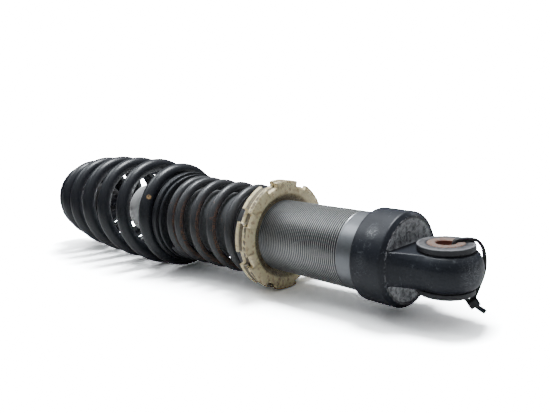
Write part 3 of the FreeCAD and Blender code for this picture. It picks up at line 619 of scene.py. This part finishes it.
# Stations of the wire's centre and radii of the coil, both by turn number.
TENDER_WIRE = 3.15
TENDER_FIRST = 124.3 + TENDER_WIRE
TENDER_LAST = 210.4 - TENDER_WIRE
TENDER_STATIONS = [
    (-1.35, TENDER_FIRST),
    (-0.95, TENDER_FIRST),
    (-0.35, TENDER_FIRST + 6.6),
    (0.0, 138.6),
    (1.0, 157.2),
    (2.0, 175.8),
    (3.0, 193.3),
    (3.85, TENDER_LAST - 6.5),
    (4.5, TENDER_LAST),
    (4.85, TENDER_LAST),
]
TENDER_RADII = [(-1.35, 27.3), (0.0, 27.3), (2.0, 27.8), (3.0, 28.2), (4.85, 28.5)]
spring("tender_coil", "tender_spring", TENDER_WIRE, TENDER_STATIONS, TENDER_RADII,
       MATERIALS["tender_paint"], first_share=0.0, last_share=1.0)

MAIN_WIRE = 5.2
MAIN_FIRST = 219.5 + MAIN_WIRE
MAIN_LAST = 382.0 - MAIN_WIRE
MAIN_STATIONS = [
    (-0.64, MAIN_FIRST),
    (-0.35, MAIN_FIRST),
    (0.0, 227.6),
    (1.0, 257.3),
    (2.0, 287.8),
    (3.0, 315.0),
    (4.0, 341.0),
    (5.0, MAIN_LAST - 10.8),
    (5.75, MAIN_LAST),
    (6.0, MAIN_LAST),
]
MAIN_RADII = [(-0.64, 33.6), (0.0, 34.0), (1.0, 36.4), (2.0, 36.3), (3.0, 35.9), (4.0, 34.4), (5.0, 30.4),
              (6.0, 27.9)]
spring("main_coil", "main_spring", MAIN_WIRE, MAIN_STATIONS, MAIN_RADII,
       MATERIALS["main_paint"], first_share=0.5, last_share=1.0)


# ======================== forged cap and lower eye

def turned_solid(profile, about="X", centre=0.0):
    """Points and faces of a solid turned from an (along, radius) profile that starts and ends on the axis."""
    points = []
    for segment in range(FORGED_SEGMENTS):
        turn = 2 * math.pi * segment / FORGED_SEGMENTS
        for along, radius in profile:
            first, second = radius * math.cos(turn), radius * math.sin(turn)
            points.append((along, first, second) if about == "X" else (centre + first, second, along))
    return points, strips(FORGED_SEGMENTS, len(profile), True, wrapped=False)


def prism(outline, half_height):
    """Points and faces of an XY outline carried from -half_height to +half_height."""
    count = len(outline)
    points = [(x, y, z) for z in (-half_height, half_height) for x, y in outline]
    faces = [tuple(range(count)), tuple(range(2 * count - 1, count - 1, -1))]
    return points, faces + strips(2, count, False)


def welded(name, points, faces):
    """A plain object whose doubled points are joined and whose faces all look outwards."""
    mesh = new_mesh(name, points, faces)
    working = bmesh.new()
    working.from_mesh(mesh)
    bmesh.ops.remove_doubles(working, verts=working.verts, dist=1e-7)
    bmesh.ops.recalc_face_normals(working, faces=working.faces)
    working.to_mesh(mesh)
    working.free()
    return add_object(name, mesh)


BUSH_SEAT_RADIUS = 12.02
DRILL_REACH = 40.0


def forging(name, solids, eye, body, node, voxel, smoothing):
    """Overlapping solids melted into one skin with soft fillets, then drilled for the eye's bushes."""
    points, faces = [], []
    for solid_points, solid_faces in solids:
        offset = len(points)
        points += solid_points
        faces += [tuple(offset + index for index in face) for face in solid_faces]
    rough = welded(name + "_rough", points, faces)
    remesh = rough.modifiers.new("skin", "REMESH")
    remesh.mode = "VOXEL"
    remesh.voxel_size = voxel * MM
    soften = rough.modifiers.new("soften", "SMOOTH")
    soften.factor = 0.5
    soften.iterations = smoothing
    drill_profile = [(-DRILL_REACH, 0), (-DRILL_REACH, BUSH_SEAT_RADIUS),
                     (DRILL_REACH, BUSH_SEAT_RADIUS), (DRILL_REACH, 0)]
    drill = welded(name + "_drill", *turned_solid(drill_profile, "Z", eye))
    cut = rough.modifiers.new("hole", "BOOLEAN")
    cut.operation = "DIFFERENCE"
    cut.solver = "FAST"
    cut.object = drill
    skin = bpy.data.meshes.new_from_object(rough.evaluated_get(bpy.context.evaluated_depsgraph_get()))
    bpy.data.objects.remove(rough)
    bpy.data.objects.remove(drill)
    piece = add_object(name, skin)
    skin.name = name
    skin.materials.clear()
    skin.materials.append(MATERIALS["cap_paint"])
    shade(piece, sharp_angle=50.0)
    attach(piece, body)
    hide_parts(node)


EYE_HALF = 9.0


def crown(half_profile):
    """The eye's whole (height, radius) profile from its widest place up to its face, mirrored below."""
    lower = [(-height, radius) for height, radius in reversed(half_profile[1:])]
    return [(-EYE_HALF, 0)] + lower + half_profile + [(EYE_HALF, 0)]


UPPER_CROWN = crown([(0, 18.35), (2.5, 18.2), (5.2, 17.5), (7.0, 16.7), (8.3, 15.7), (EYE_HALF, 14.6)])
CUP = [(22.4, 0), (22.2, 8), (22.0, 14), (21.7, 18), (21.3, 21.2), (20.9, 22.6), (20.2, 23.0), (20.2, 23.6),
       (22.3, 26.0), (40.7, 26.0), (41.5, 25.2), (41.5, 20.1), (33.0, 20.1), (33.0, 0)]
# The lug from the eye to the cap: station, then half widths at its edge, its shoulder and its middle.
LUG_SECTIONS = [
    (-2.0, 14.3, 16.3, 17.8),
    (6.0, 15.5, 17.2, 18.4),
    (12.0, 17.1, 18.5, 19.4),
    (16.0, 18.5, 19.8, 20.6),
    (19.0, 20.2, 21.3, 22.0),
    (21.4, 21.7, 22.8, 23.4),
    (25.0, 21.9, 22.9, 23.5),
]


def lofted(sections):
    """Points and faces of a bar with rounded sides through cross-sections along X."""
    points = []
    for station, edge, shoulder, middle in sections:
        lower_right = [(edge, -1.0), (shoulder, -0.72), (middle, -0.30)]
        right = lower_right + [(across, -up) for across, up in reversed(lower_right)]
        loop = right + [(-across, up) for across, up in reversed(right)]
        points += [(station, across, up * EYE_HALF) for across, up in loop]
    count = len(points) // len(sections)
    faces = [tuple(range(count)), tuple(len(points) - 1 - index for index in range(count))]
    return points, faces + strips(len(sections), count, False)


forging("cap_forging", [turned_solid(CUP), lofted(LUG_SECTIONS), turned_solid(UPPER_CROWN, "Z")],
        0.0, "damper_body", "upper_eye_cap", voxel=0.42, smoothing=7)

LOWER_EYE = 405.0
LOWER_CROWN = crown([(0, 16.2), (4.0, 16.1), (7.0, 15.6), (EYE_HALF, 14.9)])
NECK = [(373.0, 0), (373.0, 12.0), (374.0, 13.0), (386.0, 13.0), (386.0, 19.0), (387.0, 20.0), (388.5, 20.0),
        (389.8, 16.0), (389.8, 0)]
LOWER_LUG = [(388, -16), (397, -14.6), (405, -14.6), (405, 14.6), (397, 14.6), (388, 16)]
lower_crown = turned_solid(LOWER_CROWN, "Z", LOWER_EYE)
forging("lower_forging", [turned_solid(NECK), prism(LOWER_LUG, EYE_HALF), lower_crown],
        LOWER_EYE, "rod", "lower_eye", voxel=0.5, smoothing=5)


# ======================== slotted rings

RING_RADIUS = 35.2
RING_ROOT = 32.0
RING_BORE_RADIUS = 22.56
NOTCHES = 8
NOTCH_WIDTH = 8.5
NOTCH_ROUNDING = 0.55
TOOTH_STEPS = 12


def ring_outline(notch_angle):
    """The rim of a slotted ring with rounded notch corners, as points in the YZ plane."""
    corners = []
    for notch in range(NOTCHES):
        middle = math.radians(notch_angle + 360 / NOTCHES * notch)
        along = Vector((math.cos(middle), math.sin(middle)))
        aside = Vector((-along.y, along.x))
        half = NOTCH_WIDTH / 2
        rim_reach = math.sqrt(RING_RADIUS ** 2 - half ** 2)
        for reach, side in ((rim_reach, -half), (RING_ROOT, -half), (RING_ROOT, half), (rim_reach, half)):
            corners.append(tuple(along * reach + aside * side))
        tooth_start = math.atan2(corners[-1][1], corners[-1][0])
        tooth_end = middle + math.radians(360 / NOTCHES) - math.asin(half / RING_RADIUS)
        sweep = (tooth_end - tooth_start) % (2 * math.pi)
        for step in range(1, TOOTH_STEPS):
            angle = tooth_start + sweep * step / TOOTH_STEPS
            corners.append((RING_RADIUS * math.cos(angle), RING_RADIUS * math.sin(angle)))
    return rounded(corners, NOTCH_ROUNDING, 4)


def inset(outline, distance):
    """The outline moved inwards by the distance."""
    moved = []
    count = len(outline)
    for index in range(count):
        ahead = Vector(outline[(index + 1) % count]) - Vector(outline[index - 1])
        ahead.normalize()
        inward = Vector((-ahead.y, ahead.x))
        moved.append(tuple(Vector(outline[index]) + inward * distance))
    return moved


def on_circle(outline, radius):
    """The outline's points moved straight in or out to a circle."""
    return [(radius * y / math.hypot(y, z), radius * z / math.hypot(y, z)) for y, z in outline]


def slotted_ring(name, front, rear, notch_angle, step, body, node):
    """A slotted ring. With a step it is the rear ring: a smaller rim in front of the step, a plain bore."""
    rim = ring_outline(notch_angle)
    layers = []
    bore = RING_BORE_RADIUS
    if step:
        inner = [(front + 0.6, bore), (front, bore + 0.6)]
        outer = [(front, 2.0), (front + 0.5, 1.4), (front + 1.0, 0.95), (step - 0.35, 0.85), (step, 0.45),
                 (step + 0.35, 0.10), (step + 0.8, 0.0)]
    else:
        inner = [(front + 2.4, bore), (front + 1.9, bore + 2.9), (front + 1.5, bore + 3.6),
                 (front + 0.3, bore + 4.4), (front, bore + 5.0)]
        outer = [(front, 0.85), (front + 0.12, 0.45), (front + 0.35, 0.15), (front + 0.8, 0.0)]
    for station, radius in inner:
        layers.append((station, on_circle(rim, radius)))
    outer += [(rear - 0.8, 0.0), (rear - 0.35, 0.15), (rear - 0.12, 0.45), (rear, 0.85)]
    for station, distance in outer:
        layers.append((station, inset(rim, distance)))
    for station, radius in ((rear, bore + 0.5), (rear - 0.5, bore)):
        layers.append((station, on_circle(rim, radius)))
    points = [(station, y, z) for station, loop in layers for y, z in loop]
    faces = strips(len(layers), len(rim), True)
    piece = make_piece(name, points, faces, MATERIALS["ring_zinc"], body, sharp_angle=32.0)
    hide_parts(node)


slotted_ring("lock_ring_worn", 113.0, 116.6, 26.5, None, "lock_ring", "lock_ring")
slotted_ring("preload_ring_worn", 116.9, 123.0, 30.5, 119.9, "preload_ring", "preload_ring")


# ======================== threaded sleeve

BODY_RADIUS = 22.5
BODY_BORE_RADIUS = 20.02
BODY_FRONT = 41.6
BODY_REAR = 226.0
FRONT_CHAMFER = 0.4
REAR_CHAMFER = 0.8
THREAD_START = 51.8
THREAD_PITCH = 1.5
THREAD_TURNS = 51
THREAD_DEPTH = 0.85
# The helix's points at each step, as shares of a pitch: two on the crest and two in the root.
THREAD_ROWS = (0.0, 0.14, 0.50, 0.64)
THREAD_FADE_TURNS = 0.6
AROUND_BODY = 180


def threaded_body():
    """The sleeve with its thread cut as a real right-hand helix, fading out at both ends."""
    around = AROUND_BODY
    rows = len(THREAD_ROWS)
    points, faces = [], []
    long_steps = around * THREAD_TURNS
    for step in range(long_steps + 1):
        turn = 2 * math.pi * step / around
        fade = min(1.0, min(step, long_steps - step) / (around * THREAD_FADE_TURNS))
        root = BODY_RADIUS - THREAD_DEPTH * fade
        for share, radius in zip(THREAD_ROWS, (BODY_RADIUS, BODY_RADIUS, root, root)):
            points.append(around_x(THREAD_START + THREAD_PITCH * (step / around + share), radius, turn))
    for step in range(long_steps):
        here, following = step * rows, (step + 1) * rows
        for row in range(rows - 1):
            faces.append((here + row, here + row + 1, following + row + 1, following + row))
        if step + around < long_steps:
            above = (step + around) * rows
            faces.append((here + rows - 1, above, above + rows, following + rows - 1))

    def ring(station, radius):
        first = len(points)
        for index in range(around):
            points.append(around_x(station, radius, 2 * math.pi * index / around))
        return first

    def join(first, second):
        for index in range(around):
            nearby = (index + 1) % around
            faces.append((first + index, first + nearby, second + nearby, second + index))

    front = ring(THREAD_START - THREAD_PITCH, BODY_RADIUS)
    for index in range(around):
        nearby = front + (index + 1) % around
        faces.append((front + index, nearby, (index + 1) * rows, index * rows))
    faces.append((front, *range(rows), around * rows))
    back = ring(THREAD_START + THREAD_PITCH * (THREAD_TURNS + 1.6), BODY_RADIUS)
    last_turn = (long_steps - around) * rows + rows - 1
    for index in range(around):
        here = last_turn + index * rows
        faces.append((here, back + index, back + (index + 1) % around, here + rows))
    faces.append((back, last_turn, *range(long_steps * rows, long_steps * rows + rows)))
    edge_front = ring(BODY_FRONT + FRONT_CHAMFER, BODY_RADIUS)
    chamfer_front = ring(BODY_FRONT, BODY_RADIUS - FRONT_CHAMFER)
    inner_front = ring(BODY_FRONT, BODY_BORE_RADIUS)
    edge_back = ring(BODY_REAR - REAR_CHAMFER, BODY_RADIUS)
    chamfer_back = ring(BODY_REAR, BODY_RADIUS - REAR_CHAMFER)
    inner_back = ring(BODY_REAR, BODY_BORE_RADIUS)
    for first, second in ((edge_front, front), (chamfer_front, edge_front), (inner_front, chamfer_front),
                          (back, edge_back), (edge_back, chamfer_back), (chamfer_back, inner_back),
                          (inner_back, inner_front)):
        join(first, second)
    material = MATERIALS["body_metal"]
    piece = make_piece("threaded_body", points, faces, material, "damper_body", sharp_angle=25.0)
    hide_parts("threaded_sleeve")


threaded_body()


# ======================== turned pieces seen between the coils

def turned_piece(name, node, profile, material, body, round_by):
    """A turned piece that takes the place of a CAD node."""
    piece = lathe(name, profile, MATERIALS[material], body, round_by)
    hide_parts(node)
    return piece


turned_piece("silver_tube", "damper_tube", [(33, 18), (33, 20), (273.4, 20), (274, 19.4), (274, 18)],
             "silver", "damper_body", 0.15)
turned_piece("silver_end_cap", "end_cap", [
    (272.2, 7.0), (272.2, 17.95), (274.02, 17.95), (274.02, 19.9), (275.3, 19.9), (276.5, 18.7),
    (276.5, 14.0), (275.7, 12.0), (275.7, 7.0)], "silver", "damper_body", 0.25)
turned_piece("chrome_rod", "piston_rod", [
    (224.0, 0.001), (224.0, 3.4), (224.6, 4.0), (245.0, 4.0), (245.0, 6.0), (384.4, 6.0), (384.9, 5.5),
    (384.9, 0.001)], "chrome", "rod", 0.0)
turned_piece("coupler_turned", "spring_coupler", [
    (210.4, 24.02), (210.4, 31.8), (210.8, 32.2), (212.8, 32.2), (213.2, 30.8), (214.3, 30.8), (214.3, 33.5),
    (214.7, 33.8), (218.9, 33.8), (219.5, 33.2), (219.5, 27.6), (227.5, 27.2), (228.5, 26.2), (228.5, 24.02)],
    "coupler_paint", "coupler", 0.35)
turned_piece("lower_seat_turned", "lower_spring_seat", [
    (374.0, 13.1), (374.0, 20.6), (375.0, 21.6), (382.0, 22.0), (382.0, 29.8), (383.0, 30.6), (384.2, 30.6),
    (385.4, 29.4), (385.95, 26.0), (385.95, 13.1)], "cap_paint", "rod", 0.4)


# ======================== bump stop

BUMP_FRONT = 343.0
BUMP_REAR = 365.0
bump_stop = turned_piece("bump_stop_foam", "bump_stop", [
    (BUMP_FRONT, 6.3), (BUMP_FRONT, 9.5), (345.5, 11.5), (350.0, 12.5), (352.5, 10.8), (355.0, 13.0),
    (361.0, 13.8), (BUMP_REAR, 13.0), (BUMP_REAR, 6.3)], "bump_foam", "rod", 0.8)
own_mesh(bump_stop)


# ======================== cable tie left in the upper eye

TIE_WIDTH = 2.6
TIE_THICKNESS = 1.6
TIE_ACROSS = Vector((0.70, -0.71, 0.0)).normalized()
TIE_LOOP = [(-2.6, -2.4, -6.0), (-2.6, -2.4, 6.0), (-3.0, -2.6, 12.6), (-4.6, -4.8, 13.9),
            (-8.2, -8.6, 14.0), (-10.8, -11.2, 13.0), (-12.4, -13.0, 10.0), (-13.2, -13.9, 5.5),
            (-13.4, -14.0, 0.5), (-13.0, -13.2, -4.5), (-12.0, -11.5, -9.5), (-11.2, -9.0, -14.2),
            (-10.4, -7.2, -17.4), (-7.4, -5.6, -16.2), (-4.6, -3.8, -14.6), (-2.9, -2.5, -12.5)]


def smooth_loop(knots, steps=8):
    """Points of a closed curve that passes through all its knots."""
    path = []
    count = len(knots)
    for index in range(count):
        before, here, ahead, beyond = (Vector(knots[(index + shift) % count]) for shift in (-1, 0, 1, 2))
        for step in range(steps):
            t = step / steps
            slope = ahead - before
            square = 2 * before - 5 * here + 4 * ahead - beyond
            cube = 3 * here - before - 3 * ahead + beyond
            path.append(0.5 * (2 * here + slope * t + square * t ** 2 + cube * t ** 3))
    return path


def block(name, centre, half_sizes, direction):
    """A small box with rounded edges; its third half size lies along the direction."""
    working = bmesh.new()
    bmesh.ops.create_cube(working, size=2.0)
    for vertex in working.verts:
        vertex.co = Vector([vertex.co[axis] * half_sizes[axis] for axis in range(3)])
    bmesh.ops.bevel(working, geom=working.edges[:], offset=0.45, segments=3, profile=0.6, affect="EDGES")
    turn = Vector(direction).to_track_quat("Z", "X").to_matrix()
    for vertex in working.verts:
        vertex.co = turn @ vertex.co + Vector(centre)
    points = [tuple(vertex.co) for vertex in working.verts]
    faces = [tuple(vertex.index for vertex in face.verts) for face in working.faces]
    working.free()
    make_piece(name, points, faces, MATERIALS["tie_nylon"], "damper_body", sharp_angle=40.0)


def cable_tie():
    """A flat nylon tie through the upper eye's bore and round its outer side, with its head and cut tail."""
    path = smooth_loop(TIE_LOOP)
    half, thin = TIE_WIDTH / 2, TIE_THICKNESS / 2
    section = rounded([(-half, -thin), (half, -thin), (half, thin), (-half, thin)], 0.3, 2)
    points = []
    for index, place in enumerate(path):
        ahead = path[(index + 1) % len(path)] - path[index - 1]
        outward = ahead.cross(TIE_ACROSS).normalized()
        for across, out in section:
            points.append(tuple(place + TIE_ACROSS * across + outward * out))
    faces = strips(len(path), len(section), True)
    material = MATERIALS["tie_nylon"]
    make_piece("cable_tie_strap", points, faces, material, "damper_body", sharp_angle=60.0)
    block("cable_tie_head", (-11.3, -7.0, -18.0), (2.7, 2.3, 1.9), (-0.35, -0.35, -0.87))
    block("cable_tie_tail", (-14.0, -9.2, -21.2), (1.2, 0.5, 3.0), (-0.75, -0.45, -0.60))


cable_tie()


# ======================== camera, floor, light

SENSOR_WIDTH = 36.0
# The fitted focal length as a share of the picture's width.
FOCAL_SHARE = 59 / 55
CAMERA_PLACE = Vector((-149.98, 254.43, 90.47))
CAMERA_FORWARD = Vector((0.7181, -0.6690, -0.1915)).normalized()
# The camera's right-hand side before it rolls.
CAMERA_LEVEL = Vector((-0.6817, -0.7317, 0.0))
CAMERA_ROLL = math.radians(-2.79)


def place_camera():
    """The camera that took the photograph, as fitted to the shock's circles."""
    data = bpy.data.cameras.new("camera")
    data.sensor_width = SENSOR_WIDTH
    data.lens = SENSOR_WIDTH * FOCAL_SHARE
    data.clip_start = 0.01
    data.clip_end = 20.0
    camera = add_object("camera", data)
    bpy.context.scene.camera = camera
    level_up = CAMERA_LEVEL.cross(CAMERA_FORWARD)
    right = math.cos(CAMERA_ROLL) * CAMERA_LEVEL + math.sin(CAMERA_ROLL) * level_up
    up = -math.sin(CAMERA_ROLL) * CAMERA_LEVEL + math.cos(CAMERA_ROLL) * level_up
    turn = Matrix((right, up, -CAMERA_FORWARD)).transposed()
    camera.matrix_world = Matrix.Translation(CAMERA_PLACE * MM) @ turn.to_4x4()


place_camera()

# The camera sees the paper brighter than it lights the shock, as in an overexposed white sweep. Close to
# the shock it darkens where little of the room can reach it, and far away it runs into the backdrop.
# The reach, the fade and its centre are in metres.
PAPER_LIT = 0.50
PAPER_SEEN = 12.0
PAPER_LEAST = 2.6
SHADE_REACH = 0.12
SHADE_POWER = 3.0
BACKDROP = 25.0
FADE_FROM = 0.35
FADE_TO = 0.70
FADE_CENTRE = (0.08, 0.0, 0.0)


def floor_paper():
    """The white paper's material."""
    material = bpy.data.materials.new("floor_paper")
    material.use_nodes = True
    tree = material.node_tree
    tree.nodes.clear()
    lit = add_node(tree, "ShaderNodeBsdfDiffuse", {"Color": (PAPER_LIT, PAPER_LIT, PAPER_LIT)})
    openness = add_node(tree, "ShaderNodeAmbientOcclusion", {"Distance": SHADE_REACH}, samples=16)
    shaded = add_node(tree, "ShaderNodeMath", {0: openness.outputs["AO"], 1: SHADE_POWER}, operation="POWER")
    brightness = add_node(tree, "ShaderNodeMath", {0: shaded.outputs[0], 1: PAPER_SEEN, 2: PAPER_LEAST},
                          operation="MULTIPLY_ADD")
    seen = add_node(tree, "ShaderNodeBsdfDiffuse", {"Color": brightness.outputs[0]})
    place = add_node(tree, "ShaderNodeTexCoord")
    gap = add_node(tree, "ShaderNodeVectorMath", {0: place.outputs["Object"], 1: FADE_CENTRE},
                   operation="DISTANCE")
    fade = add_node(tree, "ShaderNodeMapRange", {
        "Value": gap.outputs["Value"], "From Min": FADE_FROM, "From Max": FADE_TO},
        interpolation_type="SMOOTHSTEP")
    glow = add_node(tree, "ShaderNodeEmission", {"Strength": BACKDROP})
    far = add_node(tree, "ShaderNodeMixShader", {
        0: fade.outputs["Result"], 1: seen.outputs[0], 2: glow.outputs[0]})
    ray = add_node(tree, "ShaderNodeLightPath")
    either = add_node(tree, "ShaderNodeMixShader", {
        0: ray.outputs["Is Camera Ray"], 1: lit.outputs[0], 2: far.outputs[0]})
    add_node(tree, "ShaderNodeOutputMaterial", {"Surface": either.outputs[0]})
    return material


# The shock rests on the widest main coil and on the slotted rings, so the floor tilts a little from Z.
FLOOR_TILT = math.atan(0.046)
FLOOR_ANCHOR = Vector((118.0, 0.0, -35.3))
FLOOR_HALF = 12000
floor_corners = [(-FLOOR_HALF, -FLOOR_HALF, 0), (FLOOR_HALF, -FLOOR_HALF, 0),
                 (FLOOR_HALF, FLOOR_HALF, 0), (-FLOOR_HALF, FLOOR_HALF, 0)]
floor = add_object("floor", new_mesh("floor", floor_corners, [(0, 1, 2, 3)]))
floor.matrix_world = Matrix.Translation(FLOOR_ANCHOR * MM) @ Matrix.Rotation(FLOOR_TILT, 4, "Y")
floor.data.materials.append(floor_paper())

ROOM = 0.055
CEILING = 0.45
# The upward share of a direction where the ceiling begins, and where it is at its brightest.
CEILING_FROM = 0.15
CEILING_FULL = 0.75
LIGHT_TINT = (0.93, 0.97, 1.0)


def room():
    """A white backdrop to the camera; for light, a bright ceiling over a dim room."""
    world = bpy.data.worlds.new("world")
    bpy.context.scene.world = world
    world.use_nodes = True
    tree = world.node_tree
    tree.nodes.clear()
    direction = add_node(tree, "ShaderNodeTexCoord")
    split = add_node(tree, "ShaderNodeSeparateXYZ", {0: direction.outputs["Generated"]})
    climb = add_node(tree, "ShaderNodeMapRange", {
        "Value": split.outputs["Z"], "From Min": CEILING_FROM, "From Max": CEILING_FULL,
        "To Min": ROOM, "To Max": CEILING}, interpolation_type="SMOOTHSTEP")
    ray = add_node(tree, "ShaderNodeLightPath")
    strength = add_node(tree, "ShaderNodeMix", {
        0: ray.outputs["Is Camera Ray"], 2: climb.outputs["Result"], 3: BACKDROP}, data_type="FLOAT")
    background = add_node(tree, "ShaderNodeBackground", {
        "Color": LIGHT_TINT, "Strength": strength.outputs[0]})
    add_node(tree, "ShaderNodeOutputWorld", {"Surface": background.outputs[0]})


room()

LIGHT_TARGET = (180, 0, 0)


def area_light(name, place, width, power):
    """A soft square light that looks at the shock's middle; lengths are in millimetres."""
    data = bpy.data.lights.new(name, "AREA")
    data.size = width * MM
    data.energy = power
    data.color = LIGHT_TINT
    lamp = add_object(name, data)
    lamp.location = Vector(place) * MM
    lamp.rotation_euler = (Vector(LIGHT_TARGET) - Vector(place)).to_track_quat("-Z", "Y").to_euler()


area_light("overhead", (220, -190, 1000), width=300, power=20.0)
area_light("back_left", (850, 250, 900), width=450, power=5.0)
